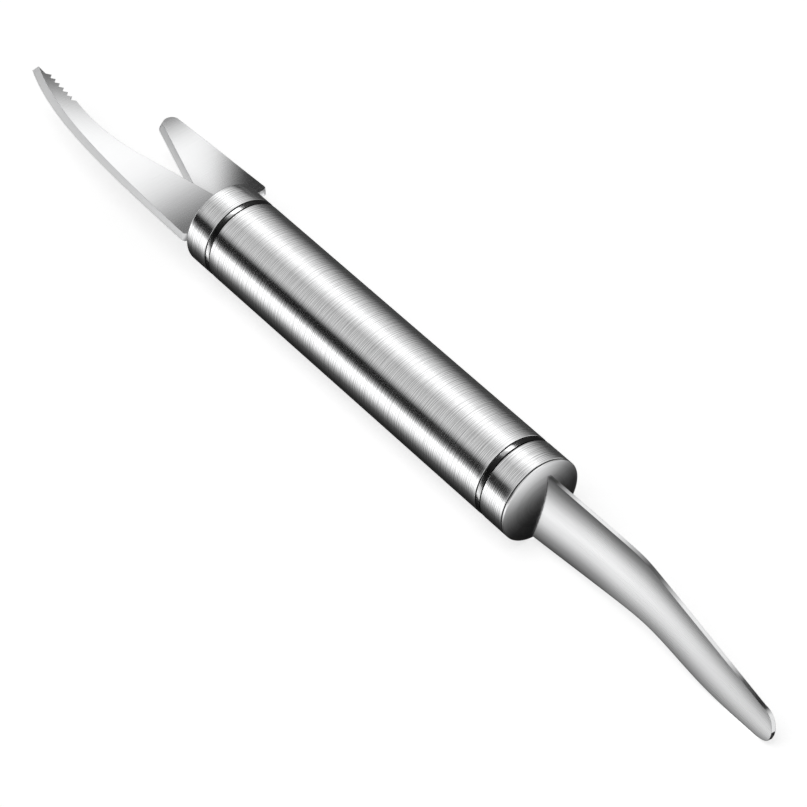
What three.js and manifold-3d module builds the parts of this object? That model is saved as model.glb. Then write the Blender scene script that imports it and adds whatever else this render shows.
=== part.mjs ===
// Shrimp deveiner: a round steel handle with a forked pair of blades at the front
// and a trough-shaped scraper at the rear. Sizes are in millimetres.
// +X runs along the handle from the blades to the scraper, +Z is up, and the tool lies on z = 0.
import * as THREE from 'three';
import { mergeVertices } from 'three/addons/utils/BufferGeometryUtils.js';
import Module from 'manifold-3d';

const wasm = await Module();
wasm.setup();

// Handle
const handleDiameter = 19;
const tubeWall = 1.2;
const handleLength = 100.3;
const ferruleLength = 6.15;
const ringWidth = 1.1;
const sealWidth = 0.25;
const ringRecess = 0.05;
const sealRecess = 0.3;
const rimRounding = 0.3;
const seamEase = 0.15;
const handleFacets = 48;

// Fits
const bondLine = 0.15;
const seamGap = 0.05;
const slotClearance = 0.2;
const pinClearance = 0.15;

// Cores and pins inside the handle
const tangWidth = 9;
const tangLength = 26;
const coreCover = 1.5;
const pinDiameter = 3;
const pinSetback = 0.5;
const pinInset = 6.5;
const pinSpacing = 10;
const pinFacets = 16;

// End caps
const frontCapThickness = 2.2;
const frontCapRecess = 0.3;
const rearCapFlange = 0.7;
const rearCapSpigot = 2.2;

// Blade plates, measured forward from the front of the handle and sideways from its axis
const bladeThickness = 1.8;
const plateGap = 0.1;
const shoulderGap = 0.3;

// Curved blade: a long outer edge that sweeps round to a serrated tip
const bladeReach = 63.2;
const spineOffset = 9.45;
const tipOffset = 2.04;
const spineRootAngle = THREE.MathUtils.degToRad(1.2);
const spineRootPull = 0.47;
const spineTipAngle = THREE.MathUtils.degToRad(21.8);
const spineTipPull = 0.25;
const bevelAtRoot = 0.4;
const bevelAtTip = 1.3;
const tipLead = 1;
const spineCorner = 1.1;
const throatAngle = THREE.MathUtils.degToRad(12.3);
const bellyRadius = 58;
const bellyShare = 0.617;
const bellyOffset = 3.15;
const tipRun = 4.1;
const toothCount = 7;
const toothPitch = 1.73;
const toothDepth = 0.88;
const toothLean = 0.63;
const toothGrind = 1.4;
const toothLineAngle = THREE.MathUtils.degToRad(4.9);

// Prong: the short blunt half of the fork
const prongShoulder = 2.7;
const prongReach = 33.9;
const prongTipRadius = 1.9;
const prongTipOffset = 10.46;
const prongInnerAngle = THREE.MathUtils.degToRad(18);
const prongOuterAngle = THREE.MathUtils.degToRad(2.5);
const prongBevel = 0.85;
const prongCorner = 0.9;

// Scraper: a shallow trough that is wide at the root and bends down to a round tip
const scraperThickness = 1;
const scraperTilt = THREE.MathUtils.degToRad(14);
const scraperSide = 0.15;
const scraperDrop = 1.65;
const scraperReach = 62.9;
const scraperRootTop = 7.5;
const scraperRootBottom = 7.35;
const rootSag = 0.12;
const scraperSag = 0.24;
const sagRun = 18;
const topBend = 27.3;
const topBendSlope = 0.236;
const topBendSoftness = 1.2;
const bottomRise = 0.083;
const bottomBend = 32.5;
const bottomBendSlope = 0.263;
const bottomBendSoftness = 2.5;
const bottomLevel = 49.6;
const bottomLevelSoftness = 3;
const scraperTipRun = 3.7;
const scraperTipShare = 0.42;
const scraperTipFullness = 0.5;

// Sizes that follow from the ones above
const handleRadius = handleDiameter / 2;
const boreRadius = handleRadius - tubeWall;
const coreRadius = boreRadius - bondLine;
const frontX = -handleLength / 2;
const rearX = handleLength / 2;
const tangHalf = tangWidth / 2;
const pinRadius = pinDiameter / 2;
const pinHalf = Math.sqrt(coreRadius ** 2 - pinRadius ** 2) - pinSetback;
const bladeTop = plateGap / 2 + bladeThickness;
const capFace = rearX + seamGap + rearCapFlange;

const steel = (color, roughness) =>
  new THREE.MeshStandardMaterial({ color, metalness: 1, roughness });
const brushedSteel = steel(0xb9babc, 0.38);
const bladeSteel = steel(0xc9cacc, 0.3);
const darkChrome = steel(0x2a2b2d, 0.12);
const pinSteel = steel(0x9a9b9d, 0.35);
const sealRubber = new THREE.MeshStandardMaterial({ color: 0x111111, roughness: 0.8 });
const corePlastic = new THREE.MeshStandardMaterial({ color: 0x3a3c40, roughness: 0.7 });

const tool = new THREE.Group();

// A closed geometry as a manifold solid, for joining and cutting.
function solid(geometry) {
  const bare = geometry.index ? geometry.toNonIndexed() : geometry.clone();
  bare.deleteAttribute('normal');
  bare.deleteAttribute('uv');
  const merged = mergeVertices(bare, 1e-4);
  return new wasm.Manifold(new wasm.Mesh({
    numProp: 3,
    vertProperties: new Float32Array(merged.attributes.position.array),
    triVerts: new Uint32Array(merged.index.array),
  }));
}

function add(name, body, material) {
  const mesh = body.getMesh();
  const geometry = new THREE.BufferGeometry();
  const position = new THREE.BufferAttribute(new Float32Array(mesh.vertProperties), 3);
  geometry.setAttribute('position', position);
  geometry.setIndex(new THREE.BufferAttribute(new Uint32Array(mesh.triVerts), 1));
  const faceted = geometry.toNonIndexed();
  faceted.computeVertexNormals();
  const node = new THREE.Mesh(faceted, material);
  node.name = name;
  tool.add(node);
}

// A profile of [radius, x] points turned about the handle's axis, with a flat facet underneath.
function turned(profile) {
  const points = profile.map(([radius, x]) => new THREE.Vector2(radius, x));
  const geometry = new THREE.LatheGeometry(points, handleFacets, Math.PI / handleFacets);
  geometry.rotateZ(-Math.PI / 2);
  return solid(geometry);
}

// A round sleeve between two stations, with its outer edges eased by the rounding given.
function sleeve(start, end, inner, outer, easeStart, easeEnd) {
  return turned([
    [inner, start],
    [outer - easeStart, start],
    ...(easeStart > 0 ? [[outer, start + easeStart]] : []),
    ...(easeEnd > 0 ? [[outer, end - easeEnd]] : []),
    [outer - easeEnd, end],
    [inner, end],
    [inner, start],
  ]);
}

function plug(start, end, radius) {
  return turned([[0, start], [radius, start], [radius, end], [0, end]]);
}

function block(start, end, yLow, yHigh, zLow, zHigh) {
  const geometry = new THREE.BoxGeometry(end - start, yHigh - yLow, zHigh - zLow);
  geometry.translate((start + end) / 2, (yLow + yHigh) / 2, (zLow + zHigh) / 2);
  return solid(geometry);
}

function arc(x, y, radius, from, to, steps) {
  return Array.from({ length: steps + 1 }, (_, i) => {
    const angle = from + ((to - from) * i) / steps;
    return new THREE.Vector2(x + radius * Math.cos(angle), y + radius * Math.sin(angle));
  });
}

// A plate whose upper and lower outlines have the same number of points and run anticlockwise.
function plate(upper, lower, zLow, zHigh) {
  const count = upper.length;
  const positions = [];
  const put = ([p, z]) => positions.push(p.x, p.y, z);
  for (const [a, b, c] of THREE.ShapeUtils.triangulateShape(upper, [])) {
    [a, b, c].forEach((i) => put([upper[i], zHigh]));
  }
  for (const [a, b, c] of THREE.ShapeUtils.triangulateShape(lower, [])) {
    [a, c, b].forEach((i) => put([lower[i], zLow]));
  }
  for (let i = 0; i < count; i += 1) {
    const next = (i + 1) % count;
    [[lower[i], zLow], [lower[next], zLow], [upper[next], zHigh]].forEach(put);
    [[lower[i], zLow], [upper[next], zHigh], [upper[i], zHigh]].forEach(put);
  }
  const geometry = new THREE.BufferGeometry();
  geometry.setAttribute('position', new THREE.Float32BufferAttribute(positions, 3));
  return solid(geometry);
}

// The curved blade's outline; the share of the bevel pushes its outer edge and its tip outwards
// and grinds its teeth back, so that they are thin and their undersides lie on one line.
function curvedOutline(share) {
  const at = (reach, y) => new THREE.Vector2(frontX - reach, y);
  const toothRun = (toothCount - 1) * toothPitch * Math.cos(toothLineAngle);
  const bellyReach = bladeReach * bellyShare;
  const bellyForward = bladeReach - tipRun - toothRun - bellyReach;
  const bellyEnd = -Math.PI / 2 - Math.asin(bellyForward / bellyRadius);
  const bellyY = bellyRadius - bellyOffset;
  const belly = arc(
    frontX - bellyReach, bellyY, bellyRadius, -Math.PI / 2 + throatAngle, bellyEnd, 18,
  );
  const throatRun = frontX - shoulderGap - belly[0].x;
  const throatY = belly[0].y + throatRun * Math.tan(throatAngle);

  const along = new THREE.Vector2(-Math.cos(toothLineAngle), Math.sin(toothLineAngle));
  const into = new THREE.Vector2(-along.y, along.x);
  const tooth = (pitches, depth) => belly.at(-1).clone()
    .addScaledVector(along, pitches * toothPitch)
    .addScaledVector(into, depth);
  const teeth = [];
  for (let i = 0; i < toothCount; i += 1) {
    if (i > 0) teeth.push(tooth(i, share * toothGrind));
    teeth.push(tooth(i + toothLean, THREE.MathUtils.lerp(toothDepth, toothGrind, share)));
  }

  const rootPull = bladeReach * spineRootPull;
  const tipPull = bladeReach * spineTipPull;
  const tip = at(bladeReach, -tipOffset);
  const root = at(shoulderGap + spineCorner, -spineOffset);
  const forward = new THREE.Vector2(-Math.cos(spineTipAngle), Math.sin(spineTipAngle));
  const leaving = new THREE.Vector2(-Math.cos(spineRootAngle), Math.sin(spineRootAngle));
  const edge = new THREE.CubicBezierCurve(
    tip,
    tip.clone().addScaledVector(forward, -tipPull),
    root.clone().addScaledVector(leaving, rootPull),
    root,
  );
  const steps = 20;
  const spine = Array.from({ length: steps + 1 }, (_, i) => {
    const run = edge.getTangent(i / steps);
    const bevel = share * THREE.MathUtils.lerp(bevelAtTip, bevelAtRoot, i / steps);
    return edge.getPoint(i / steps).add(new THREE.Vector2(run.y, -run.x).multiplyScalar(bevel));
  });
  spine[0].addScaledVector(forward, share * tipLead);

  const cornerX = frontX - shoulderGap - spineCorner;
  const cornerY = spine.at(-1).y + spineCorner;
  return [
    at(-tangLength, tangHalf),
    at(shoulderGap, tangHalf),
    at(shoulderGap, throatY),
    ...belly,
    ...teeth,
    ...spine.slice(0, -1),
    ...arc(cornerX, cornerY, spineCorner, -Math.PI / 2, 0, 5),
    at(shoulderGap, -tangHalf),
    at(-tangLength, -tangHalf),
  ];
}

// The prong's outline; the bevel pushes its notch edge and its tip outwards and fades along the back.
function prongOutline(bevel) {
  const at = (reach, y) => new THREE.Vector2(frontX - reach, y);
  const outerNormal = Math.PI / 2 + prongOuterAngle;
  const innerNormal = (3 * Math.PI) / 2 - prongInnerAngle;
  const tipX = frontX - prongReach + prongTipRadius;
  const plain = arc(tipX, prongTipOffset, prongTipRadius, outerNormal, innerNormal, 14);
  const tip = arc(tipX, prongTipOffset, prongTipRadius + bevel, outerNormal, innerNormal, 14);

  const shoulderX = frontX - prongShoulder;
  const notchRun = shoulderX - tip.at(-1).x;
  const notchY = tip.at(-1).y - notchRun * Math.tan(prongInnerAngle);
  const cornerX = shoulderX - prongCorner;
  const outerRun = cornerX - plain[0].x;
  const cornerY = plain[0].y + outerRun * Math.tan(prongOuterAngle) - prongCorner;
  return [
    at(-tangLength, tangHalf),
    at(prongShoulder, tangHalf),
    ...arc(cornerX, cornerY, prongCorner, 0, outerNormal, 6),
    ...tip,
    new THREE.Vector2(shoulderX, notchY),
    at(prongShoulder, -tangHalf),
    at(-tangLength, -tangHalf),
  ];
}

// Rises from nothing to a straight slope, rounded over the softness given.
function ramp(run, softness) {
  return softness * Math.log1p(Math.exp(run / softness));
}

function scraperTop(reach) {
  return scraperRootTop - topBendSlope * ramp(reach - topBend, topBendSoftness);
}

function scraperBottom(reach) {
  return -scraperRootBottom + bottomRise * reach
    - bottomBendSlope * ramp(reach - bottomBend, bottomBendSoftness)
    + (bottomBendSlope - bottomRise) * ramp(reach - bottomLevel, bottomLevelSoftness);
}

// The scraper's frame: across runs up its width and facing points out of its hollow side.
const across = new THREE.Vector3(0, Math.sin(scraperTilt), Math.cos(scraperTilt));
const facing = new THREE.Vector3(0, -Math.cos(scraperTilt), Math.sin(scraperTilt));
const scraperOrigin = new THREE.Vector3(0, -scraperSide, -scraperDrop);

function troughPoint(x, width, height) {
  return new THREE.Vector3(x, 0, 0)
    .add(scraperOrigin)
    .addScaledVector(across, width)
    .addScaledVector(facing, height);
}

// A curved slab through stations of { x, low, high, hollow }, between two heights over its hollow face.
function trough(stations, front, back, steps) {
  const row = (height) => stations.map(({ x, low, high, hollow }) =>
    Array.from({ length: steps + 1 }, (_, j) => {
      const width = low + ((high - low) * j) / steps;
      return troughPoint(x, width, height - hollow(width));
    }));
  const upper = row(front);
  const lower = row(back);
  const last = stations.length - 1;
  const positions = [];
  const put = (...corners) => corners.forEach((p) => positions.push(p.x, p.y, p.z));
  const quad = (a, b, c, d) => {
    put(a, b, c);
    put(a, c, d);
  };
  for (let i = 0; i < last; i += 1) {
    for (let j = 0; j < steps; j += 1) {
      quad(upper[i][j], upper[i + 1][j], upper[i + 1][j + 1], upper[i][j + 1]);
      quad(lower[i][j], lower[i][j + 1], lower[i + 1][j + 1], lower[i + 1][j]);
    }
    quad(lower[i][0], lower[i + 1][0], upper[i + 1][0], upper[i][0]);
    quad(upper[i][steps], upper[i + 1][steps], lower[i + 1][steps], lower[i][steps]);
  }
  for (let j = 0; j < steps; j += 1) {
    quad(lower[0][j], upper[0][j], upper[0][j + 1], lower[0][j + 1]);
    quad(upper[last][j], lower[last][j], lower[last][j + 1], upper[last][j + 1]);
  }
  const geometry = new THREE.BufferGeometry();
  geometry.setAttribute('position', new THREE.Float32BufferAttribute(positions, 3));
  return solid(geometry);
}

// How far the hollow lies below the line between the two lips, for lips at low and high.
// The sag is the depth in the middle as a share of half the width, and it grows away from the root.
function hollowBetween(low, high, reach) {
  const middle = (low + high) / 2;
  const half = (high - low) / 2;
  const sag = THREE.MathUtils.lerp(rootSag, scraperSag, THREE.MathUtils.smoothstep(reach, 0, sagRun));
  return (width) => sag * half * (1 - ((width - middle) / half) ** 2);
}

const rootHollow = hollowBetween(scraperBottom(0), scraperTop(0), 0);

// A slab that carries the root's curve along the handle, for the tang and for what grips it.
function rootSlab(start, end, low, high, front, back) {
  const station = (x) => ({ x, low, high, hollow: rootHollow });
  return trough([station(start), station(end)], front, back, 12);
}

function scraperBody(rootX) {
  const stations = [];
  const put = (reach, low, high) =>
    stations.push({ x: rootX + reach, low, high, hollow: hollowBetween(low, high, reach) });
  const steps = 32;
  for (let i = 0; i <= steps; i += 1) {
    const reach = (scraperReach * i) / steps;
    put(reach, scraperBottom(reach), scraperTop(reach));
  }
  const low = scraperBottom(scraperReach);
  const high = scraperTop(scraperReach);
  const end = THREE.MathUtils.lerp(low, high, scraperTipShare);
  const tipSteps = 9;
  for (let i = 1; i <= tipSteps; i += 1) {
    const angle = (i / (tipSteps + 0.4)) * (Math.PI / 2);
    const left = Math.cos(angle);
    put(
      scraperReach + scraperTipRun * Math.sin(angle),
      end + (low - end) * left ** scraperTipFullness,
      end + (high - end) * left,
    );
  }
  return trough(stations, 0, -scraperThickness, 10);
}

// A straight pin through the middle of a core, along the direction given.
function pin(x, direction, radius, half) {
  const geometry = new THREE.CylinderGeometry(radius, radius, 2 * half, pinFacets);
  const turn = new THREE.Quaternion().setFromUnitVectors(new THREE.Vector3(0, 1, 0), direction);
  geometry.applyQuaternion(turn);
  geometry.translate(x, 0, 0);
  return solid(geometry);
}

// Stations along the handle, from each end to the tube
const frontRingX = frontX + ferruleLength;
const rearRingX = rearX - ferruleLength;
const bandWidth = 2 * sealWidth + ringWidth;
const ringRadius = handleRadius - ringRecess;
const sealRadius = handleRadius - sealRecess;
const tubeStart = frontRingX + bandWidth;
const tubeEnd = rearRingX - bandWidth;

add('handle_tube', sleeve(tubeStart, tubeEnd, boreRadius, handleRadius, 0, 0), brushedSteel);
add('front_ferrule',
  sleeve(frontX, frontRingX - seamGap, boreRadius, handleRadius, rimRounding, 0), brushedSteel);
add('rear_ferrule',
  sleeve(rearRingX + seamGap, rearX, boreRadius, handleRadius, 0, seamEase), brushedSteel);

// Each end has a polished ring between two thin seals.
for (const [end, start, outerFirst] of [['front', frontRingX, true], ['rear', tubeEnd, false]]) {
  const ringStart = start + sealWidth;
  const ringEnd = ringStart + ringWidth;
  const seals = outerFirst ? ['outer', 'inner'] : ['inner', 'outer'];
  add(`${end}_seal_${seals[0]}`,
    sleeve(start, ringStart - seamGap, boreRadius, sealRadius, 0, 0), sealRubber);
  add(`${end}_ring`, sleeve(ringStart, ringEnd, boreRadius, ringRadius, 0, 0), darkChrome);
  add(`${end}_seal_${seals[1]}`,
    sleeve(ringEnd + seamGap, ringEnd + sealWidth - seamGap, boreRadius, sealRadius, 0, 0), sealRubber);
}

// Front end: two tangs, one on the other, in a channelled core that is closed by a clamp
const up = new THREE.Vector3(0, 0, 1);
const frontCapStart = frontX + frontCapRecess;
const frontCapEnd = frontCapStart + frontCapThickness;
const frontCoreStart = frontCapEnd + seamGap;
const frontTangEnd = frontX + tangLength;
const frontCoreEnd = frontTangEnd + coreCover;
const frontPins = [frontTangEnd - pinInset - pinSpacing, frontTangEnd - pinInset];
const slotHalf = tangHalf + slotClearance;
const slotTop = bladeTop + slotClearance;
const frontBores = frontPins.map((x) => pin(x, up, pinRadius + pinClearance, handleRadius));
const drilled = (body, bores) => bores.reduce((left, bore) => left.subtract(bore), body);

const curvedBlade = plate(curvedOutline(0), curvedOutline(1), plateGap / 2, bladeTop);
const prongBlade = plate(
  prongOutline(0), prongOutline(prongBevel), -bladeTop, -plateGap / 2,
);
const tangSlot = block(frontX - 1, 0, -slotHalf, slotHalf, -slotTop, slotTop);
const frontCore = plug(frontCoreStart, frontCoreEnd, coreRadius);
const clampRoom = block(
  frontX, 0, -handleRadius, handleRadius, slotTop, handleRadius,
);
const channelRoom = block(
  frontX, 0, -handleRadius, handleRadius, -handleRadius, slotTop - seamGap,
);
add('curved_blade', drilled(curvedBlade, frontBores), bladeSteel);
add('prong_blade', drilled(prongBlade, frontBores), bladeSteel);
add('front_cap', plug(frontCapStart, frontCapEnd, coreRadius).subtract(tangSlot), brushedSteel);
add('front_core_clamp', drilled(frontCore.intersect(clampRoom), frontBores), corePlastic);
add('front_core_channel',
  drilled(frontCore.intersect(channelRoom).subtract(tangSlot), frontBores), corePlastic);
frontPins.forEach((x, i) => add(`front_pin_${i + 1}`, pin(x, up, pinRadius, pinHalf), pinSteel));

// Rear end: the scraper's curved tang in a core that is split along its curve
const rearCapEnd = rearX - rearCapSpigot;
const rearCoreEnd = rearCapEnd - seamGap;
const rearTangEnd = rearX - tangLength;
const rearCoreStart = rearTangEnd - coreCover;
const rearPins = [rearTangEnd + pinInset, rearTangEnd + pinInset + pinSpacing];
const rearBores = rearPins.map((x) => pin(x, facing, pinRadius + pinClearance, handleRadius));
const tangMiddle = -scraperOrigin.dot(across);
const tangLow = tangMiddle - tangHalf;
const tangHigh = tangMiddle + tangHalf;
const scraperRoot = capFace + seamGap;
const gripFront = slotClearance;
const gripBack = -scraperThickness - slotClearance;

const scraperTang = rootSlab(
  rearTangEnd, scraperRoot + 1, tangLow, tangHigh, 0, -scraperThickness,
);
const scraper = scraperBody(scraperRoot).add(scraperTang);
const capSlot = rootSlab(
  0, capFace + 1, tangLow - slotClearance, tangHigh + slotClearance, gripFront, gripBack,
);
const rearCap = turned([
  [0, rearCapEnd],
  [coreRadius, rearCapEnd],
  [coreRadius, rearX + seamGap],
  [handleRadius - seamEase, rearX + seamGap],
  [handleRadius, rearX + seamGap + seamEase],
  [handleRadius, capFace - rimRounding],
  [handleRadius - rimRounding, capFace],
  [0, capFace],
]);
const rearCore = plug(rearCoreStart, rearCoreEnd, coreRadius);
const wide = 2 * handleRadius;
const nearRoom = rootSlab(0, rearX, -wide, wide, wide, gripFront);
const farRoom = rootSlab(0, rearX, -wide, wide, gripBack, -wide);
add('scraper', drilled(scraper, rearBores), bladeSteel);
add('rear_cap', rearCap.subtract(capSlot), brushedSteel);
add('rear_core_near', drilled(rearCore.intersect(nearRoom), rearBores), corePlastic);
add('rear_core_far', drilled(rearCore.intersect(farRoom), rearBores), corePlastic);
rearPins.forEach((x, i) => add(`rear_pin_${i + 1}`, pin(x, facing, pinRadius, pinHalf), pinSteel));

// The part's frame: the middle of the box around the tool, on the surface it lies on
const box = new THREE.Box3().setFromObject(tool);
const middle = box.getCenter(new THREE.Vector3());
tool.position.set(-middle.x, -middle.y, -box.min.z);
const part = new THREE.Group();
part.add(tool);
part.updateMatrixWorld(true);

export default part;
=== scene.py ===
"""Looks of the shrimp deveiner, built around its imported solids.

Sizes are written in millimetres and turned into metres where a mesh is made. Outlines start at the
middle of the handle's front rim: x runs to the rear, y to the far side, z up.
"""
import math

import bmesh
import bpy
from mathutils import Matrix, Vector


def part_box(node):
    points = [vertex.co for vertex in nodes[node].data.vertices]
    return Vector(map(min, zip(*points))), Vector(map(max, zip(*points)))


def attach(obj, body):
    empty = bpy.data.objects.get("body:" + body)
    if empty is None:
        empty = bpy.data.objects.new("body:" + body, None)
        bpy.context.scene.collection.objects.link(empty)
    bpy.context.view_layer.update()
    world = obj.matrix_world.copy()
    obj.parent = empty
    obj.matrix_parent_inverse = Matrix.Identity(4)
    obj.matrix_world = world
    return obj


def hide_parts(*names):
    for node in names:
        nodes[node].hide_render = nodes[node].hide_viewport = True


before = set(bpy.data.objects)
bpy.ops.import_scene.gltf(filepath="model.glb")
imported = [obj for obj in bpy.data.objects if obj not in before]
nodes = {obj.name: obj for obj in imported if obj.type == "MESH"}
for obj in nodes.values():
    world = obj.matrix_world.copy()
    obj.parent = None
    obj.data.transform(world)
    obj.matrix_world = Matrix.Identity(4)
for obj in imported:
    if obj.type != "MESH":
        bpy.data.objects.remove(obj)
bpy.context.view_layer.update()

MM = 0.001
tube_low, tube_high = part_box("handle_tube")
AXIS_Y = (tube_low.y + tube_high.y) / 2
AXIS_Z = (tube_low.z + tube_high.z) / 2
FRONT_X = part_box("front_ferrule")[0].x
REAR_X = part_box("rear_ferrule")[1].x
CAP_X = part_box("rear_cap")[1].x
ORIGIN = Vector((FRONT_X, AXIS_Y, AXIS_Z))
MIDDLE = Vector(((FRONT_X + REAR_X) / 2, AXIS_Y, AXIS_Z))

SEGMENTS = 192
BORE = 8.3 * MM
SEAM = 0.05 * MM
BAND = 2 * MM


# Materials


class Nodes:
    """A node tree, with short calls for adding nodes and links."""

    def __init__(self, tree):
        self.tree = tree

    def node(self, kind, links=None, **values):
        made = self.tree.nodes.new(kind)
        for key, value in values.items():
            if hasattr(made, key):
                setattr(made, key, value)
            else:
                made.inputs[key.replace("_", " ")].default_value = value
        for key, source in (links or {}).items():
            self.tree.links.new(source, made.inputs[key])
        return made

    def noise(self, vector, scale, detail=2.0, roughness=0.5):
        made = self.node(
            "ShaderNodeTexNoise", {"Vector": vector},
            Scale=scale, Detail=detail, Roughness=roughness,
        )
        return made.outputs["Fac"]

    def ramp(self, source, stops):
        made = self.node("ShaderNodeValToRGB", {"Fac": source})
        elements = made.color_ramp.elements
        while len(elements) < len(stops):
            elements.new(0.5)
        for element, (position, color) in zip(elements, stops):
            element.position = position
            element.color = (*color, 1)
        return made.outputs["Color"]

    def levels(self, source, stops):
        """A ramp of greys."""
        return self.ramp(source, [(position, (level,) * 3) for position, level in stops])

    def spread(self, source, low, high, start=0.3, end=0.7):
        made = self.node(
            "ShaderNodeMapRange", {"Value": source},
            From_Min=start, From_Max=end, To_Min=low, To_Max=high,
        )
        return made.outputs["Result"]

    def mix(self, share, first, second):
        made = self.node("ShaderNodeMixRGB", {"Fac": share, "Color1": first, "Color2": second})
        return made.outputs["Color"]

    def axes(self, vector):
        return self.node("ShaderNodeSeparateXYZ", {"Vector": vector}).outputs

    def math(self, operation, a, b):
        made = self.node("ShaderNodeMath", operation=operation)
        for socket, value in zip(made.inputs, (a, b)):
            if isinstance(value, (int, float)):
                socket.default_value = value
            else:
                self.tree.links.new(value, socket)
        return made.outputs[0]


class Shader(Nodes):
    """A material with its node tree."""

    def __init__(self, name):
        self.material = bpy.data.materials.new(name)
        self.material.use_nodes = True
        super().__init__(self.material.node_tree)
        self.bsdf = self.tree.nodes["Principled BSDF"]

    def link(self, source, socket):
        self.tree.links.new(source, self.bsdf.inputs[socket])

    def set(self, **values):
        for key, value in values.items():
            self.bsdf.inputs[key.replace("_", " ")].default_value = value

    def surface(self, source):
        """Puts the source in the place of the usual surface."""
        output = self.tree.nodes["Material Output"]
        self.tree.links.new(source, output.inputs["Surface"])
        self.tree.nodes.remove(self.bsdf)


def grey(level):
    return (level, level * 1.003, level * 1.008)


def place_coordinates(shader):
    return shader.node("ShaderNodeTexCoord").outputs["Object"]


def radial_coordinates(shader):
    """Runs outwards from the handle's axis, so that what follows it makes rings."""
    place = shader.axes(place_coordinates(shader))
    y = shader.math("SUBTRACT", place["Y"], AXIS_Y)
    z = shader.math("SUBTRACT", place["Z"], AXIS_Z)
    squares = shader.math("ADD", shader.math("MULTIPLY", y, y), shader.math("MULTIPLY", z, z))
    radius = shader.math("SQRT", squares, 0)
    return shader.node("ShaderNodeCombineXYZ", {"X": radius}).outputs["Vector"]


HAIR_SHIFT = 0.35
LINE_CONTRAST = 1.5
STREAK_SHARE = 0.2
GRAIN_BASE = 0.4
GRAIN_DARK, GRAIN_LIGHT = 0.36, 0.64
GRAIN_DEPTH = 0.02 * MM
EDGE_STARTS, EDGE_WORN = 0.53, 0.62
WORN_SHARE, WORN_GAIN = 0.6, 1.12
CLOUD_SCALE, CLOUD_SWING = 60.0, 0.015


def brushing(shader, coordinates, stretch, fine, coarse):
    """A grain stretched along the brushing: lines where two shifted noises differ, and streaks."""
    mapped = shader.node(
        "ShaderNodeMapping", {"Vector": coordinates(shader)}, Scale=stretch,
    ).outputs["Vector"]
    shifted = shader.node("ShaderNodeVectorMath", {0: mapped}, operation="ADD")
    shifted.inputs[1].default_value = [
        HAIR_SHIFT / fine if share == 1 else 0.0 for share in stretch
    ]
    hair = shader.noise(mapped, fine, detail=2.0, roughness=0.6)
    next_hair = shader.noise(shifted.outputs["Vector"], fine, detail=2.0, roughness=0.6)
    streak = shader.noise(mapped, coarse, detail=3.0, roughness=0.55)
    line = shader.math("MULTIPLY", shader.math("SUBTRACT", hair, next_hair), LINE_CONTRAST)
    base = shader.math("ADD", shader.math("MULTIPLY", streak, STREAK_SHARE), GRAIN_BASE)
    return shader.math("ADD", line, base)


def worn(shader, tone, light):
    """The tone, rubbed lighter along convex edges."""
    edge = shader.node("ShaderNodeNewGeometry").outputs["Pointiness"]
    share = shader.levels(edge, [(EDGE_STARTS, 0), (EDGE_WORN, WORN_SHARE)])
    rubbed = shader.node(
        "ShaderNodeMixRGB", {"Fac": share, "Color1": tone},
        Color2=(*grey(min(1.0, light * WORN_GAIN)), 1),
    )
    return rubbed.outputs["Color"]


def leaned(shader, normal, grain, lean):
    """Turns the gloss round the handle's axis, and leans the normal that way with the grain."""
    tangent = shader.node(
        "ShaderNodeTangent", direction_type="RADIAL", axis="X",
    ).outputs["Tangent"]
    shader.link(tangent, "Tangent")
    swing = shader.node(
        "ShaderNodeVectorMath", {0: tangent, "Scale": shader.spread(grain, -lean, lean)},
        operation="SCALE",
    )
    moved = shader.node(
        "ShaderNodeVectorMath", {0: normal, 1: swing.outputs["Vector"]}, operation="ADD",
    )
    return shader.node(
        "ShaderNodeVectorMath", {0: moved.outputs["Vector"]}, operation="NORMALIZE",
    ).outputs["Vector"]


def steel(name, coordinates, stretch, fine, coarse, tones, roughness, bump,
          turn=None, anisotropic=0.0, lean=0.0, worn_edges=False):
    """Metal whose grain moves its tone, gloss and height; a turn brushes it round the handle."""
    shader = Shader(name)
    grain = brushing(shader, coordinates, stretch, fine, coarse)
    dark, light = tones
    tone = shader.ramp(grain, [(GRAIN_DARK, grey(dark)), (GRAIN_LIGHT, grey(light))])
    if worn_edges:
        tone = worn(shader, tone, light)
    shader.link(tone, "Base Color")
    smooth, rough = roughness
    cloud = shader.noise(place_coordinates(shader), CLOUD_SCALE)
    gloss = shader.math(
        "ADD", shader.spread(grain, smooth, rough), shader.spread(cloud, -CLOUD_SWING, CLOUD_SWING),
    )
    shader.link(gloss, "Roughness")
    height = shader.node("ShaderNodeBump", {"Height": grain}, Strength=bump, Distance=GRAIN_DEPTH)
    normal = height.outputs["Normal"]
    shader.set(Metallic=1.0, Anisotropic=anisotropic)
    if turn is not None:
        shader.set(Anisotropic_Rotation=turn)
        normal = leaned(shader, normal, grain, lean)
    shader.link(normal, "Normal")
    return shader.material


PEBBLES_PER_CLOUD = 12
SKIN_DARK, SKIN_LIGHT = 0.75, 1.3
SKIN_GLOSS_SWING = 0.08
SKIN_DEPTH = 0.05 * MM


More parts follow.
